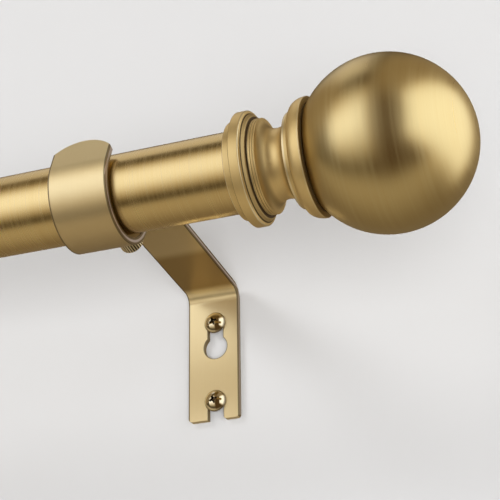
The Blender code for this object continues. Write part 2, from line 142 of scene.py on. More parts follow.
class Tree:
    # builds the nodes of one material or world

    def __init__(self, owner):
        owner.use_nodes = True
        self.owner = owner
        self.tree = owner.node_tree

    def node(self, kind, settings=None, sockets=None, out=0):
        made = self.tree.nodes.new(kind)
        for key, value in (settings or {}).items():
            setattr(made, key, value)
        for key, value in (sockets or {}).items():
            self.feed(made.inputs[key], value)
        return Value(self, made.outputs[out])

    def feed(self, socket, value):
        if isinstance(value, Value):
            self.tree.links.new(value.socket, socket)
        else:
            socket.default_value = value

    def place(self, middle):
        # object coordinates counted from a point, as three numbers
        spot = self.node("ShaderNodeTexCoord", out=3)
        moved = self.node("ShaderNodeMapping", dict(vector_type="POINT"), {0: spot, 1: -Vector(middle)})
        return self.parts(moved)

    def local(self, place):
        # object coordinates seen from a turned and moved place
        spot = self.node("ShaderNodeTexCoord", out=3)
        turned = self.node("ShaderNodeMapping", dict(vector_type="TEXTURE"),
                           {0: spot, 1: place.translation, 2: place.to_euler()})
        return self.parts(turned)

    def parts(self, vector):
        return [self.node("ShaderNodeSeparateXYZ", sockets={0: vector}, out=k) for k in range(3)]

    def scaled(self, spot, scale):
        return self.vector(*[part * scale for part in spot])

    def vector(self, x, y, z):
        return self.node("ShaderNodeCombineXYZ", sockets={0: x, 1: y, 2: z})

    def noise(self, vector, detail=2.0, rough=0.5, w=None):
        settings = dict(noise_dimensions="3D" if w is None else "4D")
        sockets = {"Vector": vector, "Scale": 1.0, "Detail": detail, "Roughness": rough}
        if w is not None:
            sockets["W"] = w
        return self.node("ShaderNodeTexNoise", settings, sockets)

    def step(self, value, low, high):
        # 0 under low, 1 over high, smooth between
        return self.node("ShaderNodeMapRange", dict(interpolation_type="SMOOTHSTEP"),
                         {0: value, 1: low, 2: high, 3: 0.0, 4: 1.0})

    def fall(self, value, low, high):
        # 1 under low, 0 over high
        return 1 - self.step(value, low, high)

    def window(self, value, low, high, soft):
        # 1 between low and high, and 0 outside
        return self.step(value, low - soft, low + soft) * self.fall(value, high - soft, high + soft)

    def blend(self, amount, first, second):
        return self.node("ShaderNodeMix", dict(data_type="RGBA", clamp_factor=True),
                         {0: amount, 6: (*first, 1.0) if isinstance(first, tuple) else first,
                          7: (*second, 1.0) if isinstance(second, tuple) else second}, out=2)

    def length(self, first, second):
        return (first * first + second * second) ** 0.5

    def slotDistance(self, across, above):
        # how far outside a slot that ends in a half circle, open downwards
        over = across.math("MAXIMUM", above, 0.0)
        return self.length(across, over) - holes["half"]

    def bump(self, height, strength, distance):
        return self.node("ShaderNodeBump", sockets={"Strength": strength, "Distance": distance,
                                                    "Height": height})


def newFinish(name, metallic, **fixed):
    tree = Tree(bpy.data.materials.new(name))
    tree.shader = tree.tree.nodes["Principled BSDF"]
    tree.shader.inputs["Metallic"].default_value = metallic
    for key, value in fixed.items():
        tree.shader.inputs[key.replace("_", " ")].default_value = value
    return tree


# brass and plastic finishes

# besides the metal's own tones: a pale colour for edges rubbed bright with a painted highlight, a brown for
# painted shade, and a near black for dirt and painted shade
brass = dict(light=(0.91, 0.725, 0.37), dark=(0.77, 0.57, 0.25), stain=(0.66, 0.46, 0.20),
             wornSheen=(0.97, 0.86, 0.58), cutEdge=(0.66, 0.58, 0.56), paintedShade=(0.33, 0.205, 0.06),
             grimeAndShade=(0.085, 0.055, 0.03))


def brushed(tree, streak, broad, grain, look, grimeAndShade=None, side=None, shine=None, paintedShade=None):
    # shared end of every brass: streaks and cloudy patches drive colour, roughness and bump
    shade = 0.55 + (streak - 0.5) * look["streakColour"] + (broad - 0.5) * look["cloudColour"]
    colour = tree.blend(shade, look.get("dark", brass["dark"]), look.get("light", brass["light"]))
    colour = tree.blend(tree.step(broad, 0.60, 0.86) * 0.22, colour, brass["stain"])
    rough = look["rough"] + (streak - 0.5) * look["streakRough"] + (broad - 0.5) * look["cloudRough"]
    # edges rubbed bright, with a painted highlight
    if shine:
        colour = tree.blend(shine * 0.7, colour, brass["wornSheen"])
        rough = rough - shine * 0.08
    # painted shade
    if paintedShade:
        colour = tree.blend(paintedShade, colour, brass["paintedShade"])
    # dirt and painted shade
    if grimeAndShade:
        colour = tree.blend(grimeAndShade * 0.9, colour, brass["grimeAndShade"])
        rough = rough + grimeAndShade * 0.15
    if side:
        colour = tree.blend(side, colour, brass["cutEdge"])
    tree.feed(tree.shader.inputs["Base Color"], colour)
    tree.feed(tree.shader.inputs["Roughness"], rough)
    height = streak * look["streakHeight"] + grain * look["grainHeight"]
    tree.feed(tree.shader.inputs["Normal"], tree.bump(height, look["bump"], look["distance"]))
    return tree.owner


tubeLook = dict(rough=0.25, streakColour=1.3, cloudColour=0.4, streakRough=0.22, cloudRough=0.05,
                streakHeight=0.8, grainHeight=0.2, bump=0.14, distance=0.03 * mm,
                lines=1300.0, around=14.0, cloud=38.0, peel=2600.0)
turnedLook = dict(metallic=0.90, light=(0.95, 0.745, 0.36), dark=(0.80, 0.575, 0.235), rough=0.41,
                  streakColour=0.35, cloudColour=0.4, streakRough=0.10, cloudRough=0.05,
                  streakHeight=0.7, grainHeight=0.3, bump=0.2, distance=0.025 * mm,
                  lines=2600.0, around=14.0, cloud=60.0, peel=3000.0)
ballLook = dict(light=(0.93, 0.78, 0.41), rough=0.32,
                streakColour=0.75, cloudColour=0.5, streakRough=0.26, cloudRough=0.05,
                streakHeight=0.6, grainHeight=0.4, bump=0.2, distance=0.025 * mm,
                lines=760.0, around=9.0, cloud=42.0, peel=2800.0,
                # top, foot and shoulder give where painted shade darkens the ball, and how much
                top=dict(height=(13 * mm, 25 * mm), thick=0.28),
                foot=dict(height=(-24 * mm, -4 * mm), thick=0.14),
                shoulder=dict(height=(9 * mm, 18 * mm), inward=(3 * mm, 12 * mm), thick=0.34))
strapLook = dict(metallic=0.80, light=(0.99, 0.845, 0.51), dark=(0.87, 0.69, 0.365), rough=0.32,
                 streakColour=0.30, cloudColour=0.45, streakRough=0.08, cloudRough=0.06,
                 streakHeight=0.6, grainHeight=0.4, bump=0.25, distance=0.025 * mm,
                 lines=2100.0, around=60.0, cloud=55.0, peel=3200.0,
                 # rim and holeEdge place painted shade along the edges; armRoot, arm, hookFoot and hookEnd place
                 # painted shade on the arm and under the hook
                 rim=(-0.50 * mm, -0.36 * mm), cut=(-0.06 * mm, -0.02 * mm), core=(0.22 * mm, 0.50 * mm),
                 holeEdge=(0.12 * mm, 0.32 * mm), plate=(-6 * mm, -4 * mm),
                 armRoot=(-33 * mm, -6.5 * mm, 3 * mm), arm=(-77 * mm, -6.5 * mm, 2 * mm),
                 hookFoot=(-14 * mm, 2 * mm), hookEnd=(-86 * mm, -78 * mm))
screwLook = dict(light=(0.99, 0.91, 0.69), dark=(0.88, 0.73, 0.45), rough=0.08,
                 streakColour=0.30, cloudColour=0.4, streakRough=0.05, cloudRough=0.05,
                 streakHeight=0.5, grainHeight=0.5, bump=0.12, distance=0.02 * mm, peel=3600.0)


def turnedBrass(name, look, middle, marks=None):
    # lines run round the rod's axis, on the sides and on the end faces
    tree = newFinish(name, look.get("metallic", 1.0))
    x, y, z = tree.place(middle)
    radius = (y * y + z * z) ** 0.5
    around = look["around"]
    lines = look["lines"]
    streak = tree.noise(tree.vector(x * lines, radius * lines, y * around), 3.0, 0.62, w=z * around)
    broad = tree.noise(tree.scaled((x, y, z), look["cloud"]), 3.0, 0.55)
    grain = tree.noise(tree.scaled((x, y, z), look["peel"]), 2.0)
    if look is ballLook:
        # painted shade: the ball is darker towards the top and the bottom, and on its upper side towards the
        # collar
        inward = look["out"] - abs(x)
        top, foot, shoulder = look["top"], look["foot"], look["shoulder"]
        thick = tree.step(z, *top["height"]) * top["thick"]
        thick = thick + tree.fall(z, *foot["height"]) * foot["thick"]
        darker = tree.step(z, *shoulder["height"]) * tree.step(inward, *shoulder["inward"])
        thick = thick + darker * shoulder["thick"]
        return brushed(tree, streak, broad, grain, look, grimeAndShade=thick)
    if not marks:
        return brushed(tree, streak, broad, grain, look)
    along = abs(x) - marks["start"]  # the same on both finials
    # grooves give dirt with painted shade, edges give wear with a painted highlight
    grimeAndShade, shine = [sum(tree.window(along, line - wide, line + wide, soft) * strength
                        for line, wide, soft, strength in marks[kind]) for kind in ("grooves", "edges")]
    return brushed(tree, streak, broad, grain, look, grimeAndShade=grimeAndShade, shine=shine)


def strapBrass(name, look, middle, worked=False):
    # lines run along the strap, which lies across X everywhere
    tree = newFinish(name, look.get("metallic", 1.0))
    x, y, z = tree.place(middle)
    around = look["around"]
    streak = tree.noise(tree.vector(x * look["lines"], y * around, z * around), 3.0, 0.6)
    broad = tree.noise(tree.scaled((x, y, z), look["cloud"]), 3.0, 0.55)
    grain = tree.noise(tree.scaled((x, y, z), look["peel"]), 2.0)
    if not worked:
        return brushed(tree, streak, broad, grain, look)
    # painted shade as a dark line along each rounded edge, greyer metal on the cut sides
    out = abs(x) - strap["width"] / 2
    rim = tree.step(out, *look["rim"])
    radius = tree.length(y - rodMiddle.y, z)
    core = abs(radius - strapR())
    for first, second in strapRuns():
        way = (second - first).normalized()
        off = (y - rodMiddle.y - first.x) * way.y - (z - first.y) * way.x
        core = core.math("MINIMUM", core, abs(off))
    side = tree.step(out, *look["cut"]) * tree.fall(core, *look["core"])
    # painted shade round the edges of the keyhole and the slots on the plate
    across = x - holes["aside"]
    circle = tree.length(across, z + holes["keyholeDrop"]) - holes["keyholeR"]
    upper = tree.slotDistance(across, z + holes["upperTop"] + holes["half"])
    upper = upper.math("MAXIMUM", upper, -holes["keyholeDrop"] - z)
    lower = tree.slotDistance(across, z + holes["lowerTop"] + holes["half"])
    hole = lower.math("MINIMUM", lower, circle.math("MINIMUM", circle, upper))
    ring = tree.fall(hole, *look["holeEdge"]) * tree.step(y, *look["plate"])
    # painted shade: the arm is darker than the rest, most of all next to the wall bend, and so is the hook's
    # underside
    paintedShade = tree.window(y, *look["armRoot"]) * 0.40 + tree.window(y, *look["arm"]) * 0.52
    paintedShade = paintedShade + tree.fall(z, *look["hookFoot"]) * tree.fall(y, *look["hookEnd"]) * 0.60
    return brushed(tree, streak, broad, grain, look, side=side, paintedShade=paintedShade,
                   grimeAndShade=rim * 0.85 * (1 - side) + ring * 0.8)


zinc = dict(dark=(0.50, 0.51, 0.52), light=(0.74, 0.74, 0.72))


def platedSteel(name, middle):
    tree = newFinish(name, 1.0)
    spot = tree.place(middle)
    broad = tree.noise(tree.scaled(spot, 300), 4.0, 0.6)
    fine = tree.noise(tree.scaled(spot, 2600), 2.0)
    colour = tree.blend(broad, zinc["dark"], zinc["light"])
    tree.feed(tree.shader.inputs["Base Color"], colour)
    tree.feed(tree.shader.inputs["Roughness"], 0.24 + broad * 0.14)
    tree.feed(tree.shader.inputs["Normal"], tree.bump(fine, 0.2, 0.02 * mm))
    return tree.owner


def moulded(name, middle, colour, shade, rough):
    tree = newFinish(name, 0.0, IOR=1.53)
    spot = tree.place(middle)
    broad = tree.noise(tree.scaled(spot, 160), 3.0, 0.5)
    fine = tree.noise(tree.scaled(spot, 3000), 2.0)
    tree.feed(tree.shader.inputs["Base Color"], tree.blend(broad, shade, colour))
    tree.feed(tree.shader.inputs["Roughness"], rough + (fine - 0.5) * 0.12)
    tree.feed(tree.shader.inputs["Normal"], tree.bump(fine, 0.3, 0.03 * mm))
    return tree.owner


# outlines drawn with operators, then turned round X or pushed out flat

class Outline:
    def __init__(self, x, y, soft=0.0):
        self.bm = bmesh.new()
        self.tip = self.bm.verts.new((x, y, 0.0))
        self.start = self.tip
        self.corners = []
        self.soften(soft)

    def soften(self, soft):
        if soft:
            self.corners.append((self.tip, soft))

    def line(self, x, y, soft=0.0, cuts=0):
        start, end = self.tip.co.copy(), Vector((x, y, 0.0))
        for k in range(cuts + 1):
            grown = bmesh.ops.extrude_vert_indiv(self.bm, verts=[self.tip])
            self.tip = grown["verts"][0]
            self.tip.co = start.lerp(end, (k + 1) / (cuts + 1))
        self.soften(soft)
        return self

    def arc(self, middle, turn, steps, soft=0.0):
        # turn in degrees, left-handed turns are negative
        grown = bmesh.ops.spin(self.bm, geom=[self.tip], cent=(*middle, 0.0), axis=(0, 0, 1),
                               dvec=(0, 0, 0), angle=radians(turn), steps=steps)
        self.tip = next(part for part in grown["geom_last"] if isinstance(part, bmesh.types.BMVert))
        self.soften(soft)
        return self

    def close(self):
        self.bm.edges.new((self.tip, self.start))
        return self

    def finished(self):
        for soft in sorted({soft for vert, soft in self.corners}):
            chosen = [vert for vert, size in self.corners if size == soft]
            bmesh.ops.bevel(self.bm, geom=chosen, offset=soft, offset_type="OFFSET", segments=4,
                            profile=0.5, affect="VERTICES", material=-1)
        return self.bm


def newPiece(name, bm, material, sharp=40.0):  # sharp in degrees
    mesh = meshOf(name, bm)
    mesh.materials.append(material)
    mesh.shade_smooth()
    mesh.set_sharp_from_angle(angle=radians(sharp))
    item = linked(name, mesh)
    even = item.modifiers.new("evenNormals", "WEIGHTED_NORMAL")
    even.mode = "FACE_AREA"
    even.keep_sharp = True
    return item


def spun(outline, steps, place, shape=None):
    bm = outline.finished()
    bmesh.ops.spin(bm, geom=bm.verts[:] + bm.edges[:], cent=(0, 0, 0), axis=(1, 0, 0), dvec=(0, 0, 0),
                   angle=2 * pi, steps=steps, use_merge=True)
    bmesh.ops.remove_doubles(bm, verts=bm.verts, dist=tiny)
    bmesh.ops.recalc_face_normals(bm, faces=bm.faces)
    if shape:
        for vert in bm.verts:
            radius = hypot(vert.co.y, vert.co.z)
            if radius > 0.01 * mm:
                scale = shape(vert.co.x, radius, atan2(vert.co.z, vert.co.y)) / radius
                vert.co.y *= scale
                vert.co.z *= scale
    bmesh.ops.transform(bm, matrix=place, verts=bm.verts)
    return bm


def stand(node, bm, material, sharp=40.0):
    # the fine piece takes the frame node's place and body, and hides the frame node
    item = newPiece("fine_" + node, bm, material, sharp)
    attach(item, bodyOf[node])
    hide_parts(node)
    return item


def lookFrom(origin, axis, local=(1, 0, 0)):
    # the local direction, X unless told, points along the axis, from the origin
    turn = Vector(local).rotation_difference(Vector(axis)).to_matrix().to_4x4()
    return Matrix.Translation(origin) @ turn


def reach(node, place):
    # first and last place along the local axis, and the largest radius
    back = place.inverted()
    spots = [back @ vert.co for vert in frame["nodes"][node].data.vertices]
    return (min(s.x for s in spots), max(s.x for s in spots), max(hypot(s.y, s.z) for s in spots))


def saw(value):
    # 0 to 1 to 0 over each whole number
    part = value % 1.0
    return 1.0 - abs(2.0 * part - 1.0)


def threaded(low, high, radius, pitch, depth, fade):
    def shape(x, r, angle):
        if r < radius - 0.6 * depth or x < low or x > high:
            return r
        strength = min(1.0, (x - low) / fade, (high - x) / fade)
        return max(0.15 * mm, r - depth * strength * (1.0 - saw(x / pitch - angle / (2 * pi))))
    return shape


# tubes

tube = dict(wall=0.7 * mm, edge=0.2 * mm, steps=180)


def makeTube(node, material):
    place = Matrix.Translation(rodMiddle)
    low, high, outer = reach(node, place)
    inner = outer - tube["wall"]
    edge = tube["edge"]
    outline = Outline(low, outer, edge).line(high, outer, edge).line(high, inner, edge)
    outline.line(low, inner, edge).close()
    return stand(node, spun(outline, tube["steps"], place), material)


# brackets

strap = dict(width=19.4 * mm, thick=2.2 * mm, hookGap=1.25 * mm, tongueAngle=21.0, tongue=9.65 * mm,
             tongueEnd=13.3 * mm, backLeg=8.1 * mm, hookBend=3.0 * mm, drop=5.96, wallBend=4.0 * mm,
             foot=45.0 * mm, corner=1.2 * mm, slotCorner=0.9 * mm, edge=0.5 * mm)
holes = dict(aside=0.8 * mm, keyholeDrop=17.6 * mm, keyholeR=4.5 * mm, half=3.0 * mm, upperTop=6.0 * mm,
             lowerTop=35.9 * mm, threadR=2.25 * mm)


def strapR():
    return rodHigh.z - rodMiddle.z + strap["hookGap"] + strap["thick"] / 2


def strapRuns():
    # two points on each straight run: plate, arm and lip, (to the wall, up), from the rod's middle
    path = strapPath()
    path.bm.verts.ensure_lookup_table()
    spots = [vert.co.copy() for vert in path.bm.verts]
    path.bm.free()
    return [(spots[k], spots[m]) for k, m in ((0, 1), (15, 16), (-2, -1))]


def strapPath():
    # middle of the strap's thickness, from the plate's foot to the tip of the lip, (to the wall, up)
    hookR = strapR()
    hookBend = strap["hookBend"] + strap["thick"] / 2
    wallBend = strap["wallBend"] + strap["thick"] / 2
    drop = radians(strap["drop"])
    plate = -rodMiddle.y - strap["thick"] / 2
    bend = (hookR + hookBend, strap["backLeg"])
    armEnd = (bend[0] + hookBend * sin(drop), bend[1] + hookBend * cos(drop))
    cornerY = plate - wallBend
    armStart = cornerY + wallBend * sin(drop)
    cornerZ = armEnd[1] - (armStart - armEnd[0]) * sin(drop) / cos(drop) - wallBend * cos(drop)
    path = Outline(plate, -strap["foot"])
    path.line(plate, cornerZ).arc((cornerY, cornerZ), 90 - strap["drop"], 14)
    path.line(*armEnd).arc(bend, 90 + strap["drop"], 14)
    path.line(hookR, 0.0).arc((0.0, 0.0), -180 - strap["tongueAngle"], 72)
    lean = radians(strap["tongueAngle"])
    path.line(path.tip.co.x + strap["tongue"] * sin(lean), path.tip.co.y + strap["tongue"] * cos(lean))
    return path


def flatCutter(name, outline, place, depth):
    # a flat outline pushed out to both sides of its plane
    bm = outline.close().finished()
    face = bmesh.ops.contextual_create(bm, geom=bm.edges[:])["faces"]
    bmesh.ops.translate(bm, verts=bm.verts, vec=(0, 0, -depth))
    grown = bmesh.ops.extrude_face_region(bm, geom=face + bm.edges[:], use_keep_orig=True)["geom"]
    lifted = [part for part in grown if isinstance(part, bmesh.types.BMVert)]
    bmesh.ops.translate(bm, verts=lifted, vec=(0, 0, 2 * depth))
    bmesh.ops.remove_doubles(bm, verts=bm.verts, dist=tiny)
    bmesh.ops.recalc_face_normals(bm, faces=bm.faces)
    bmesh.ops.transform(bm, matrix=place, verts=bm.verts)
    return linked(name, meshOf(name, bm))


def carve(item, cutters):
    for cutter in cutters:
        cut = item.modifiers.new(cutter.name, "BOOLEAN")
        cut.operation = "DIFFERENCE"
        cut.solver = "EXACT"
        cut.object = cutter
    bpy.context.view_layer.update()
    shown = item.evaluated_get(bpy.context.evaluated_depsgraph_get())
    bm = bmesh.new()
    bm.from_mesh(bpy.data.meshes.new_from_object(shown))
    for thing in [item] + cutters:
        bpy.data.objects.remove(thing)
    return bm


def keyholeOutline():
    half, radius = holes["half"], holes["keyholeR"]
    meet = asin(half / radius)
    down = -holes["keyholeDrop"]
    top = -holes["upperTop"] - half
    outline = Outline(half, down + radius * cos(meet))
    outline.line(half, top).arc((0.0, top), 180, 24).line(-half, down + radius * cos(meet))
    return outline.arc((0.0, down), 360 - 2 * meet * 180 / pi - 1.0, 60)


def openSlotOutline():
    half = holes["half"]
    top = -holes["lowerTop"] - half
    below = -strap["foot"] - 2 * mm
    return Outline(half, below).line(half, top).arc((0.0, top), 180, 24).line(-half, below)


def lipOutline():
    # everything beyond the lip's rounded end, (across, up along the lip)
    radius, reachX = strap["tongueEnd"], strap["width"] * 0.56
    middle = strap["tongue"] - radius
    side = sqrt(radius ** 2 - reachX ** 2)
    above = strap["tongue"] + 3 * mm
    turn = 2 * asin(reachX / radius) * 180 / pi
    outline = Outline(-reachX, middle + side).arc((0.0, middle), -turn, 32)
    return outline.line(reachX, above).line(-reachX, above)


def makeBracket(side, material):
    node = "bracket_" + side
    low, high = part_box(node)
    middle = Vector(((low.x + high.x) / 2, rodMiddle.y, rodMiddle.z))
    upright = Matrix(((0, 0, 1, 0), (1, 0, 0, 0), (0, 1, 0, 0), (0, 0, 0, 1)))  # (x, y) drawn as (Y, Z)
    path = strapPath()
    lipTip = path.tip.co.copy()
    bm = path.finished()
    half = strap["width"] / 2
    bmesh.ops.translate(bm, verts=bm.verts, vec=(0, 0, -half))
    grown = bmesh.ops.extrude_edge_only(bm, edges=bm.edges[:])["geom"]
    lifted = [part for part in grown if isinstance(part, bmesh.types.BMVert)]
    bmesh.ops.translate(bm, verts=lifted, vec=(0, 0, 2 * half))
    bmesh.ops.transform(bm, matrix=Matrix.Translation(middle) @ upright, verts=bm.verts)
    item = newPiece(node + "_blank", bm, material)
    item.modifiers.clear()
    wall = item.modifiers.new("thickness", "SOLIDIFY")
    wall.thickness = strap["thick"]
    wall.offset = 0.0
    wall.use_even_offset = True
    across = Matrix.Translation(middle + Vector((holes["aside"], -rodMiddle.y, 0.0)))
    facing = across @ Matrix.Rotation(pi / 2, 4, "X")
    depth = 3 * strap["thick"]
    lean = radians(strap["tongueAngle"])
    root = lipTip - Vector((sin(lean), cos(lean), 0.0)) * strap["tongue"]
    lipPlace = Matrix.Translation(middle + Vector((0.0, root.x, root.y)))
    lipPlace = lipPlace @ Matrix.Rotation(pi / 2 - lean, 4, "X")
    cutters = [flatCutter("keyhole", keyholeOutline(), facing, depth),
               flatCutter("openSlot", openSlotOutline(), facing, depth),
               flatCutter("lipEnd", lipOutline(), lipPlace, depth)]
    screw = joints["thumb_turn_" + side]
    hole = Outline(0.0, holes["threadR"])
    hole.arc((0.0, 0.0), 345.0, 23)
    along = lookFrom(Vector(screw["pos_m"]), screw["axis"], (0, 0, 1))
    along = along @ Matrix.Translation((0, 0, 15.0 * mm))
    cutters.append(flatCutter("threadHole", hole, along, 5 * mm))
    bm = carve(item, cutters)
    foot = rodMiddle.z - strap["foot"]
    slotRight = middle.x + holes["aside"] + holes["half"]
    for spotX, soft in ((middle.x - half, strap["corner"]), (middle.x + half, strap["corner"]),
                        (slotRight, strap["slotCorner"])):
        corner = [edge for edge in bm.edges if all(
            abs(vert.co.x - spotX) < near and abs(vert.co.z - foot) < near for vert in edge.verts)]
        bmesh.ops.bevel(bm, geom=corner, offset=soft, offset_type="OFFSET", segments=6, profile=0.5,
                        affect="EDGES", material=-1)
    item = stand(node, bm, material)
    item.modifiers.clear()  # rounded edges come before even normals
    rounding = item.modifiers.new("edges", "BEVEL")
    rounding.width = strap["edge"]
    rounding.segments = 4
    rounding.limit_method = "ANGLE"
    rounding.angle_limit = radians(50)
    rounding.miter_outer = "MITER_ARC"
    even = item.modifiers.new("evenNormals", "WEIGHTED_NORMAL")
    even.keep_sharp = False
    return item


# wall screws

wallScrew = dict(headHeight=2.6 * mm, shankR=2.1 * mm, point=5.0 * mm, pitch=1.6 * mm,
                 threadDepth=0.55 * mm, plain=3.0 * mm, cross=4.4 * mm, bar=1.05 * mm, depth=1.7 * mm,
                 coneLow=0.45 * mm, coneHigh=1.25 * mm, edge=0.45 * mm, turn=20.0, pointCuts=23,
                 threadCuts=118)


def crossCutters(place, size):
    # two tapered bars and a cone between them
    cutters = []
    for turn in (0.0, 90.0, None):
        bm = bmesh.new()
        if turn is None:
            bmesh.ops.create_cone(bm, cap_ends=True, segments=24, radius1=size["coneLow"],
                                  radius2=size["coneHigh"], depth=2.1 * size["depth"])
            bmesh.ops.rotate(bm, verts=bm.verts, cent=(0, 0, 0), matrix=Matrix.Rotation(pi / 2, 3, "Y"))
        else:
            bmesh.ops.create_cube(bm, size=1.0)
            bmesh.ops.scale(bm, vec=(2 * size["depth"], size["cross"], size["bar"]), verts=bm.verts)
            deep = [vert for vert in bm.verts if vert.co.x < 0]
            bmesh.ops.scale(bm, vec=(1.0, 0.42, 0.62), verts=deep)
            bmesh.ops.rotate(bm, verts=bm.verts, cent=(0, 0, 0),
                             matrix=Matrix.Rotation(radians(size["turn"] + turn), 3, "X"))
        bmesh.ops.transform(bm, matrix=place, verts=bm.verts)
        cutters.append(linked("cross", meshOf("cross", bm)))
    return cutters


def screwBrass(name, place, top, domeR):
    # bright head, with painted shade in the cross and round the rim
    tree = newFinish(name, 1.0)
    x, y, z = tree.local(place)
    radius = tree.length(y, z)
    depth = top - radius * radius / (2 * domeR) - x
    cross = tree.step(depth, 0.10 * mm, 0.45 * mm) * (1 - tree.step(radius, 2.2 * mm, 2.4 * mm))
    rim = tree.step(radius, 3.45 * mm, 3.85 * mm) * 0.85
    broad = tree.noise(tree.scaled((x, y, z), 900), 3.0, 0.6)
    grain = tree.noise(tree.scaled((x, y, z), screwLook["peel"]), 2.0)
    return brushed(tree, broad, broad, grain, screwLook, grimeAndShade=cross * 0.85 + rim)


def makeWallScrew(node):
    size = wallScrew
    low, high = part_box(node)
    under = Vector(((low.x + high.x) / 2, low.y + size["headHeight"], (low.z + high.z) / 2))
    place = lookFrom(under, (0, -1, 0))
    start, top, headR = reach(node, place)
    outline = Outline(start, 0.0).line(start + 0.2 * mm, 0.25 * mm)
    outline.line(start + size["point"], size["shankR"], cuts=size["pointCuts"])
    outline.line(-size["plain"], size["shankR"], cuts=size["threadCuts"])
    outline.line(0.0, size["shankR"], 0.15 * mm).line(0.0, headR - 0.12 * mm, 0.1 * mm)
    outline.line(size["edge"], headR)
    domeH = top - size["edge"]
    domeR = (domeH ** 2 + headR ** 2) / (2 * domeH)
    turn = asin(min(1.0, headR / domeR)) * 180 / pi
    outline.arc((top - domeR, 0.0), -turn, 22)
    outline.tip.co.y = 0.0
    shape = threaded(start + 0.3 * mm, -size["plain"], 0.0, size["pitch"], size["threadDepth"], 2.2 * mm)
    material = screwBrass("screwBrass_" + node[11:], place, top, domeR)
    bm = spun(outline, 48, place, shape)
    blank = newPiece(node + "_blank", bm, material)
    blank.modifiers.clear()
    bm = carve(blank, crossCutters(place @ Matrix.Translation((top, 0.0, 0.0)), size))
    return stand(node, bm, material, 32.0)


# thumb screws

thumb = dict(shankR=1.95 * mm, neckR=2.8 * mm, neck=2.4 * mm, head=4.5 * mm, teeth=28, toothDepth=0.5 * mm,
             edge=0.35 * mm, pitch=0.8 * mm, threadDepth=0.36 * mm, rough=0.30)


def thumbBrass(name, place, headR):
    # painted shade between the teeth; the tooth pattern is laid out round the screw's own axis
    tree = newFinish(name, 1.0)
    x, y, z = tree.local(place)
    around = tree.node("ShaderNodeMath", dict(operation="ARCTAN2"), {0: z, 1: y}) * thumb["teeth"]
    valley = 0.5 - tree.node("ShaderNodeMath", dict(operation="COSINE"), {0: around}) * 0.5
    rim = tree.step(tree.length(y, z), headR - 0.75 * mm, headR - 0.55 * mm)
    broad = tree.noise(tree.scaled((x, y, z), 700), 3.0, 0.6)
    grain = tree.noise(tree.scaled((x, y, z), screwLook["peel"]), 2.0)
    toothShade = tree.step(valley, 0.4, 0.75) * rim
    return brushed(tree, broad, broad, grain, dict(screwLook, rough=thumb["rough"]), grimeAndShade=toothShade)


def makeThumbScrew(side):
    node = "thumb_screw_" + side
    joint = joints["thumb_turn_" + side]
    place = lookFrom(Vector(joint["pos_m"]), joint["axis"])
    low, high, headR = reach(node, place)
    material = thumbBrass("thumbBrass_" + side, place, headR)
    headLow = high - thumb["head"]
    shoulder = headLow - thumb["neck"]
    edge = thumb["edge"]
    outline = Outline(low, 0.0).line(low, thumb["shankR"] - 0.25 * mm)
    outline.line(low + 0.25 * mm, thumb["shankR"]).line(shoulder - 0.3 * mm, thumb["shankR"], cuts=30)
    outline.line(shoulder, thumb["shankR"]).line(shoulder, thumb["neckR"], 0.2 * mm)
    outline.line(headLow, thumb["neckR"], 0.15 * mm).line(headLow, headR - edge)
    outline.line(headLow + edge, headR, cuts=3).line(high - edge, headR, cuts=8)
    outline.line(high, headR - edge, cuts=3).line(high, 2.1 * mm, 0.15 * mm)
    outline.line(high - 0.35 * mm, 1.9 * mm, 0.15 * mm).line(high - 0.35 * mm, 0.0)
    thread = threaded(low, shoulder - 0.3 * mm, thumb["shankR"], thumb["pitch"],
                      thumb["threadDepth"], 0.6 * mm)
    teeth = thumb["teeth"]

    def shape(x, radius, angle):
        if x < shoulder:
            return thread(x, radius, angle)
        if radius < headR - edge * 1.01:
            return radius
        strength = (radius - headR + edge) / edge
        return radius - thumb["toothDepth"] * strength * max(0.0, 1.5 * saw(angle * teeth / (2 * pi)) - 0.5)

    bm = spun(outline, teeth * 6, place, shape)
    return stand(node, bm, material, 28.0)


def makeThumbTip(side, material):
    node = "thumb_tip_" + side
    joint = joints["thumb_turn_" + side]
    place = lookFrom(Vector(joint["pos_m"]), joint["axis"])
    low, high, radius = reach(node, place)
    outline = Outline(low, 0.0).line(low, radius, 0.3 * mm).line(high, radius, 0.1 * mm).line(high, 0.0)
    return stand(node, spun(outline, 48, place), material)


# finials

collar = dict(ring=2.75 * mm, band=3.25 * mm, bandR=17.7 * mm, ringR=15.2 * mm, shoulder=1.6 * mm,
              rise=15.6 * mm, beadR=14.7 * mm, bead=2.35 * mm, cove=8.4 * mm, coveBrim=14.4 * mm,
              coveDepth=3.6 * mm, lip=2.1 * mm, lipR=14.8 * mm, cupInR=16.15 * mm, cupOutR=18.4 * mm,
              cup=4.45 * mm, seatR=16.6 * mm, socketR=13.0 * mm, socket=5.2 * mm, boreR=3.3 * mm,
              beadLines=(0.42, 0.78), steps=180)
ball = dict(wall=1.0 * mm, holeR=5.0 * mm, rows=96, steps=160)


def collarStations():
    # where each ring ends, counted from the open end: band, bead, cove, lip, cup and rim
    band = collar["ring"] + collar["band"]
    bead = band + collar["shoulder"]
    cove = bead + collar["bead"]
    lip = cove + collar["cove"]
    cup = lip + collar["lip"]
    return band, bead, cove, lip, cup, cup + collar["cup"]


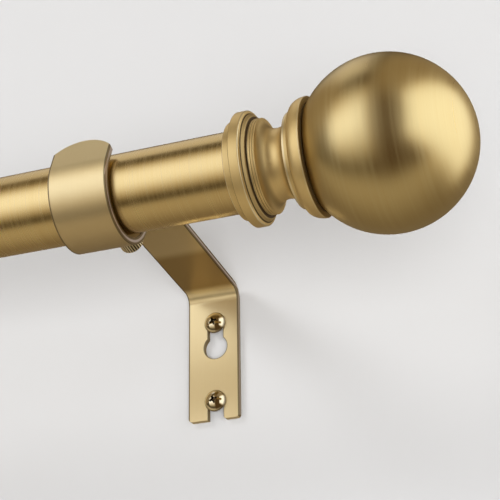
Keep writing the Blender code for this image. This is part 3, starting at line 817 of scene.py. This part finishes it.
def collarMarks(middle):
    # where dirt gathers with painted shade in the grooves, and where edges are rubbed bright with a painted
    # highlight, with half of each mark's width in mm
    band, bead, cove, lip, cup, end = collarStations()
    grooves = [(collar["ring"], 0.15), (band + 0.45 * mm, 0.15), (bead, 0.15), (lip, 0.12),
               (cup, 0.17), (end + 0.14 * mm, 0.15)]
    grooves += [(bead + share * collar["bead"], 0.05) for share in collar["beadLines"]]
    edges = [(band - 0.05 * mm, 0.14), (0.15 * mm, 0.12), (bead + 0.2 * mm, 0.1), (lip + 0.5 * mm, 0.25),
             (end - 0.28 * mm, 0.10)]
    narrow = dict(grooves=[(line, wide * mm, 0.07 * mm, 1.0) for line, wide in grooves],
                  edges=[(line, wide * mm, 0.07 * mm, 1.0) for line, wide in edges])
    # painted shade: the hollow of the cove is darker towards both ends, and so is the shoulder after the band
    narrow["grooves"] += [(cove + 1.0 * mm, 0.8 * mm, 0.7 * mm, 0.5),
                          (lip - 0.9 * mm, 0.6 * mm, 0.6 * mm, 0.55),
                          (band + 1.0 * mm, 0.45 * mm, 0.2 * mm, 0.4)]
    return dict(narrow, start=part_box("finial_collar_right")[0].x - middle.x)


def finialPlace(side):
    # local X runs from the collar's open end towards the ball
    facing = 1 if side == "right" else -1
    low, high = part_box("finial_collar_" + side)
    openEnd = Vector((low.x if facing > 0 else high.x, rodMiddle.y, rodMiddle.z))
    turn = 0.0 if facing > 0 else pi
    return Matrix.Translation(openEnd) @ Matrix.Rotation(turn, 4, "Z")


def makeCollar(side, material):
    node = "finial_collar_" + side
    place = finialPlace(side)
    size = collar
    _, ballHigh, ballR = reach("finial_ball_" + side, place)
    ballX = ballHigh - ballR
    seatR = ballR + gap
    band, bead, cove, lip, cup, end = collarStations()
    outline = Outline(0.0, size["socketR"] + 0.25 * mm)
    outline.line(0.0, size["ringR"], 0.35 * mm).line(size["ring"] - 0.15 * mm, size["ringR"])
    outline.line(size["ring"], size["ringR"] - 0.2 * mm)
    outline.line(size["ring"] + 0.02 * mm, size["bandR"], 0.4 * mm)
    outline.line(band, size["bandR"], 0.32 * mm)
    outline.line(band + 0.25 * mm, size["bandR"] - 0.95 * mm, 0.2 * mm)
    outline.line(bead - 0.15 * mm, size["rise"] + 0.1 * mm, 0.3 * mm)
    outline.line(bead, size["beadR"] - 0.15 * mm).line(bead + 0.2 * mm, size["beadR"] - 0.05 * mm, 0.1 * mm)
    for share in size["beadLines"]:  # fine turned lines round the bead
        line = bead + share * size["bead"]
        outline.line(line - 0.12 * mm, size["beadR"]).line(line, size["beadR"] - 0.14 * mm)
        outline.line(line + 0.12 * mm, size["beadR"])
    outline.line(cove, size["beadR"], 0.22 * mm).line(cove + 0.02 * mm, size["coveBrim"])
    coveMiddle = cove + size["cove"] / 2
    known = set(outline.bm.verts)
    outline.line(coveMiddle - size["coveDepth"], size["coveBrim"])
    outline.arc((coveMiddle, size["coveBrim"]), 180.0, 40)
    wide = (size["cove"] / 2 - 0.02 * mm) / size["coveDepth"]
    for vert in outline.bm.verts:
        if vert not in known:
            vert.co.x = coveMiddle + (vert.co.x - coveMiddle) * wide
    outline.line(lip, size["coveBrim"]).line(lip, size["lipR"], 0.3 * mm)
    outline.line(cup, size["lipR"]).line(cup, size["cupInR"] - 0.15 * mm, 0.15 * mm)
    known = set(outline.bm.verts)
    rise = size["cupOutR"] - size["cupInR"]
    outline.line(end - rise, size["cupInR"])
    outline.arc((end, size["cupInR"]), -90.0, 20)
    for vert in outline.bm.verts:
        if vert not in known:
            vert.co.x = end + (vert.co.x - end) * size["cup"] / rise
    outline.soften(0.22 * mm)
    outline.line(end, size["seatR"], 0.15 * mm)
    last, first = asin(size["seatR"] / seatR), asin(size["boreR"] / seatR)
    outline.line(ballX - seatR * cos(last) + 0.05 * mm, seatR * sin(last) - 0.05 * mm)
    outline.arc((ballX, 0.0), (last - first) * 180 / pi, 24)
    outline.line(size["socket"], size["boreR"], 0.1 * mm).line(size["socket"], size["socketR"])
    outline.line(0.25 * mm, size["socketR"]).close()
    bm = spun(outline, size["steps"], place)
    return stand(node, bm, material, 50.0)


def makeBall(side, material):
    node = "finial_ball_" + side
    collarPlace = finialPlace(side)
    _, high, radius = reach(node, collarPlace)
    place = collarPlace @ Matrix.Translation((high - radius, 0.0, 0.0))
    inner = radius - ball["wall"]
    outerHole, innerHole = asin(ball["holeR"] / radius), asin(ball["holeR"] / inner)
    outline = Outline(radius, 0.0).arc((0.0, 0.0), 180 - outerHole * 180 / pi, ball["rows"])
    outline.soften(0.2 * mm)
    outline.line(-inner * cos(innerHole), ball["holeR"])
    outline.arc((0.0, 0.0), -180 + innerHole * 180 / pi, ball["rows"] // 2)
    outline.tip.co.y = 0.0
    bm = spun(outline, ball["steps"], place)
    return stand(node, bm, material, 50.0)


finialParts = dict(studPitch=1.0 * mm, studDepth=0.45 * mm, studEdge=0.5 * mm, insertFlangeR=6.5 * mm,
                   insertFlange=1.4 * mm, knurls=32, knurlDepth=0.25 * mm)


def makeStud(side, material):
    node = "finial_stud_" + side
    place = finialPlace(side)
    low, high, radius = reach(node, place)
    edge = finialParts["studEdge"]
    outline = Outline(low, 0.0).line(low, radius - edge).line(low + edge, radius)
    outline.line(high - edge, radius, cuts=int((high - low) / finialParts["studPitch"] * 9))
    outline.line(high, radius - edge).line(high, 0.0)
    shape = threaded(low + 0.5 * edge, high - 0.5 * edge, radius, finialParts["studPitch"],
                     finialParts["studDepth"], 1.2 * mm)
    return stand(node, spun(outline, 36, place, shape), material)


def makeWasher(side, material):
    node = "finial_washer_" + side
    place = finialPlace(side)
    low, high, radius = reach(node, place)
    bore = collar["boreR"]
    outline = Outline(low, bore, 0.12 * mm).line(low, radius, 0.2 * mm).line(high, radius, 0.2 * mm)
    outline.line(high, bore, 0.12 * mm).close()
    return stand(node, spun(outline, 96, place), material)


def makeInsert(side, material):
    node = "finial_insert_" + side
    place = finialPlace(side)
    low, high, flangeR = reach(node, place)
    _, ballHigh, ballR = reach("finial_ball_" + side, place)
    inside = ballR - ball["wall"]
    shelf = ballHigh - ballR - sqrt(inside ** 2 - finialParts["insertFlangeR"] ** 2) + gap
    outer, bore = ball["holeR"] - gap, collar["boreR"]
    outline = Outline(low, bore, 0.15 * mm).line(low, outer, 0.2 * mm).line(shelf, outer)
    outline.line(shelf, flangeR, 0.2 * mm).line(shelf + finialParts["insertFlange"], flangeR, 0.2 * mm)
    outline.line(shelf + finialParts["insertFlange"], outer).line(high, outer, 0.2 * mm, cuts=6)
    outline.line(high, bore, 0.15 * mm).close()
    knurls = finialParts["knurls"]

    def shape(x, radius, angle):
        if radius < outer - near or radius > outer + near:
            return radius
        return radius - finialParts["knurlDepth"] * saw(angle * knurls / (2 * pi))

    return stand(node, spun(outline, knurls * 4, place, shape), material, 25.0)


# plugs and bushes inside the tubes

plug = dict(flange=1.0 * mm, ribs=8, ribHeight=0.22 * mm, groove=0.5 * mm, skirt=2.0 * mm)


def ribbed(low, high, radius, count, height):
    # shallow lengthwise ribs: the surface between them lies a little lower
    def shape(x, r, angle):
        if abs(r - radius) > near or x < low or x > high:
            return r
        return r - height * (1.0 - max(0.0, cos(angle * count)) ** 6)
    return shape


def makePlug(side, material):
    node = "end_plug_" + side
    place = finialPlace(side)
    low, high, flangeR = reach(node, place)
    under = high - plug["flange"]
    bore = collar["boreR"]
    plugR = (innerTubeR if side == "left" else outerTubeR) - tube["wall"] - gap
    outline = Outline(high, bore, 0.25 * mm).line(high, flangeR, 0.2 * mm)
    if side == "left":
        outline.line(under - gap - plug["skirt"], flangeR, 0.2 * mm)
        outline.line(under - gap - plug["skirt"], innerTubeR + gap, 0.2 * mm)
        outline.line(under, innerTubeR + gap)
        outline.line(under, plugR)
    else:
        outline.line(under, flangeR, 0.15 * mm).line(under, plugR)
    for k in range(1, 4):  # three shallow grip grooves
        ridge = under - k * (under - low) / 4.4
        outline.line(ridge + plug["groove"], plugR).line(ridge + 0.6 * plug["groove"], plugR - 0.3 * mm)
        outline.line(ridge - 0.6 * plug["groove"], plugR - 0.3 * mm).line(ridge - plug["groove"], plugR)
    outline.line(low, plugR, 0.6 * mm).line(low, bore, 0.25 * mm).close()
    shape = ribbed(low + 0.7 * mm, under - 0.1 * mm, plugR, plug["ribs"], plug["ribHeight"])
    return stand(node, spun(outline, 128, place, shape), material)


bush = dict(wall=2.0 * mm, flange=4.0 * mm, mouthFlange=1.2 * mm)


def makeMouthBush(material):
    node = "mouth_bush"
    place = Matrix.Translation(rodMiddle)
    low, high, flangeR = reach(node, place)
    hole = innerTubeR + gap
    lining = flangeR - tube["wall"] - gap
    flange = low + bush["mouthFlange"]
    outline = Outline(low, hole, 0.25 * mm).line(low, flangeR, 0.4 * mm).line(flange, flangeR, 0.15 * mm)
    outline.line(flange, lining).line(high, lining, 0.2 * mm).line(high, hole, 0.12 * mm).close()
    return stand(node, spun(outline, 160, place), material)


def makeGuideBush(material):
    node = "guide_bush"
    place = Matrix.Translation(rodMiddle)
    low, high, flangeR = reach(node, place)
    spigot = innerTubeR - tube["wall"] - gap
    bore = spigot - bush["wall"]
    flange = high - bush["flange"]
    outline = Outline(low, bore, 0.2 * mm).line(low, spigot, 0.3 * mm).line(flange, spigot)
    outline.line(flange, flangeR, 0.3 * mm).line(high, flangeR, 0.5 * mm).line(high, bore, 0.2 * mm).close()
    shape = ribbed(flange + 0.5 * mm, high - 0.5 * mm, flangeR, 12, 0.2 * mm)
    return stand(node, spun(outline, 144, place, shape), material)


# stage, light and world

stage = dict(wallY=0.3 * mm, half=2.6, floor=-1.6, wallColour=(0.655, 0.665, 0.68),
             floorColour=(0.78, 0.775, 0.76))


def paleFinish(name, colour):
    tree = newFinish(name, 0.0)
    spot = tree.place((0, 0, 0))
    cloud = tree.noise(tree.scaled(spot, 5), 4.0, 0.55)
    fine = tree.noise(tree.scaled(spot, 420), 3.0)
    darker = tuple(part * 0.975 for part in colour)
    tree.feed(tree.shader.inputs["Base Color"], tree.blend(cloud, darker, colour))
    tree.feed(tree.shader.inputs["Roughness"], 0.7 + fine * 0.1)
    tree.feed(tree.shader.inputs["Normal"], tree.bump(fine, 0.05, 0.1 * mm))
    tree.shader.inputs["Specular IOR Level"].default_value = 0.1
    return tree


def stageSheet(name, place):
    bm = bmesh.new()
    bmesh.ops.create_grid(bm, x_segments=1, y_segments=1, size=stage["half"])
    bmesh.ops.transform(bm, matrix=place, verts=bm.verts)
    item = linked(name, meshOf(name, bm))
    item.visible_glossy = False
    return item


def makeStage():
    floor = stageSheet("floor", Matrix.Translation((0.0, 0.0, stage["floor"])))
    floor.data.materials.append(paleFinish("paleFloor", stage["floorColour"]).owner)
    rise = stage["half"] + stage["floor"]
    upright = Matrix.Translation((0.0, stage["wallY"], rise)) @ Matrix.Rotation(pi / 2, 4, "X")
    wall = stageSheet("wall", upright)
    tree = paleFinish("paleWall", stage["wallColour"])
    # seen from behind, the wall lets the view through, so that the brackets' backs show
    behind = tree.node("ShaderNodeNewGeometry", out=6)
    shone = tree.node("ShaderNodeLightPath", out=10)  # light that came by way of shiny metal
    clear = tree.step(behind + shone, 0.4, 0.6)
    glass = tree.node("ShaderNodeBsdfTransparent")
    surface = Value(tree, tree.shader.outputs[0])
    both = tree.node("ShaderNodeMixShader", sockets={0: clear, 1: surface, 2: glass})
    tree.feed(tree.tree.nodes["Material Output"].inputs["Surface"], both)
    wall.data.materials.append(tree.owner)


# colours of the surroundings, and where each one lies: angles run up from straight ahead
world = dict(shade=(0.080, 0.062, 0.038), gap=(0.070, 0.040, 0.016), bounce=(0.42, 0.355, 0.255),
             deep=(0.205, 0.160, 0.105), ceiling=(0.66, 0.61, 0.56), haze=(0.26, 0.20, 0.125),
             front=(1.17, 1.185, 1.25), warm=(0.86, 0.70, 0.46), side=(1.18, 1.19, 1.20),
             view=(0.80, 0.80, 0.79),
             bounceAt=(-150, -80), shadeAt=(-74, -56), deepAt=(140, 158),
             gapAt=(-70, 70, 12), gapAcross=(-0.26, -0.05),
             hazeAt=(40, 160, 20), hazeAcross=(-0.49, -0.03, 0.12),
             ceilingAt=(76, 124, 6), ceilingAcross=(-0.52, -0.16, 0.1),
             facing=(0.05, 0.12), frontAcross=(-1.75, -0.13, 0.15), frontFoot=(-1.30, 0.10),
             frontTop=(0.30, 1.70), sideNear=(-1.68, -1.12), sideFar=(0.7, 1.7),
             sideFoot=(-0.85, -0.25), sideTop=(0.9, 1.7))


def makeWorld():
    scene = bpy.context.scene
    scene.world = scene.world or bpy.data.worlds.new("studio")
    tree = Tree(scene.world)
    x, y, z = tree.parts(tree.node("ShaderNodeTexCoord"))
    up = tree.node("ShaderNodeMath", dict(operation="ARCTAN2"), {0: z, 1: -y})

    def turned(name):
        return [radians(angle) for angle in world[name]]

    below = tree.blend(tree.step(up, *turned("bounceAt")), world["deep"], world["bounce"])
    colour = tree.blend(tree.step(up, *turned("shadeAt")), below, world["shade"])
    colour = tree.blend(tree.step(up, *turned("deepAt")), colour, world["deep"])
    dark = tree.window(up, *turned("gapAt")) * tree.step(x, *world["gapAcross"])
    colour = tree.blend(dark, colour, world["gap"])
    haze = tree.window(up, *turned("hazeAt")) * (1 - tree.window(x, *world["hazeAcross"]))
    colour = tree.blend(haze, colour, world["haze"])
    above = tree.window(up, *turned("ceilingAt")) * tree.window(x, *world["ceilingAcross"])
    colour = tree.blend(above, colour, world["ceiling"])
    low = world["facing"][0]  # keeps the division clear of zero
    ahead = tree.node("ShaderNodeMath", dict(operation="MAXIMUM"), {0: -y, 1: low})
    front = tree.step(-y, *world["facing"]) * tree.window(x / ahead, *world["frontAcross"])
    front = front * tree.step(z / ahead, *world["frontFoot"]) * tree.fall(z / ahead, *world["frontTop"])
    colour = tree.blend(front, colour, tree.blend(front * front, world["warm"], world["front"]))
    aside = tree.node("ShaderNodeMath", dict(operation="MAXIMUM"), {0: x, 1: low})
    right = tree.step(x, *world["facing"]) * tree.step(y / aside, *world["sideNear"])
    right = right * tree.fall(y / aside, *world["sideFar"])
    right = right * tree.step(z / aside, *world["sideFoot"]) * tree.fall(z / aside, *world["sideTop"])
    colour = tree.blend(right, colour, tree.blend(right * right, world["warm"], world["side"]))
    seen = tree.node("ShaderNodeLightPath")  # whatever the camera sees directly is plain
    colour = tree.blend(seen, colour, world["view"])
    tree.feed(tree.tree.nodes["Background"].inputs["Color"], colour)
    tree.feed(tree.tree.nodes["Background"].inputs["Strength"], 1.0)


lights = [dict(name="keyLight", spot=(-1.6, -2.03, 1.5), size=(0.8, 0.8), power=24.0),
          dict(name="fillLight", spot=(1.05, -2.45, -1.15), size=(1.6, 1.6), power=68.0)]


def makeLights():
    aim = Vector((0.0, 0.0, 0.0))
    for size in lights:
        data = bpy.data.lights.new(size["name"], "AREA")
        data.shape = "RECTANGLE"
        data.size, data.size_y = size["size"]
        data.energy = size["power"]
        item = linked(size["name"], data)
        spot = Vector(size["spot"])
        turn = (aim - spot).to_track_quat("-Z", "Y").to_matrix().to_4x4()
        item.matrix_world = Matrix.Translation(spot) @ turn
        item.visible_camera = False
        item.visible_glossy = False


# build

makeCamera()
makeStage()
makeWorld()
makeLights()
bpy.context.scene.view_settings.view_transform = "Standard"
print("camera, stage and light done")

tubeFinish = turnedBrass("tubeBrass", tubeLook, rodMiddle)
collarMiddle = (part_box("finial_collar_left")[0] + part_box("finial_collar_right")[1]) / 2
collarFinish = turnedBrass("finialBrass", turnedLook, collarMiddle, collarMarks(collarMiddle))
low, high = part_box("finial_ball_right")
ballLook["out"] = (low.x + high.x) / 2 - collarMiddle.x
ballFinish = turnedBrass("ballBrass", ballLook, collarMiddle)
zincFinish = platedSteel("zincSteel", (0, 0, 0))
plainNylon = moulded("plainNylon", (0, 0, 0), (0.83, 0.81, 0.74), (0.76, 0.73, 0.65), 0.45)
goldNylon = moulded("goldNylon", (0, 0, 0), (0.50, 0.37, 0.17), (0.42, 0.30, 0.13), 0.38)

for node in ("outer_tube", "inner_tube"):
    makeTube(node, tubeFinish)
makeMouthBush(goldNylon)
makeGuideBush(plainNylon)
print("tubes done")
for side in ("right", "left"):
    low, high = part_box("bracket_" + side)
    strapMiddle = ((low.x + high.x) / 2, 0.0, rodMiddle.z)
    makeBracket(side, strapBrass("bracketBrass_" + side, strapLook, strapMiddle, worked=True))
    for height in ("upper", "lower"):
        makeWallScrew(f"wall_screw_{side}_{height}")
    makeThumbScrew(side)
    makeThumbTip(side, plainNylon)
    print(side, "bracket and screws done")
    makeCollar(side, collarFinish)
    makeBall(side, ballFinish)
    makeStud(side, zincFinish)
    makeWasher(side, plainNylon)
    makeInsert(side, zincFinish)
    makePlug(side, plainNylon)
    print(side, "finial done")
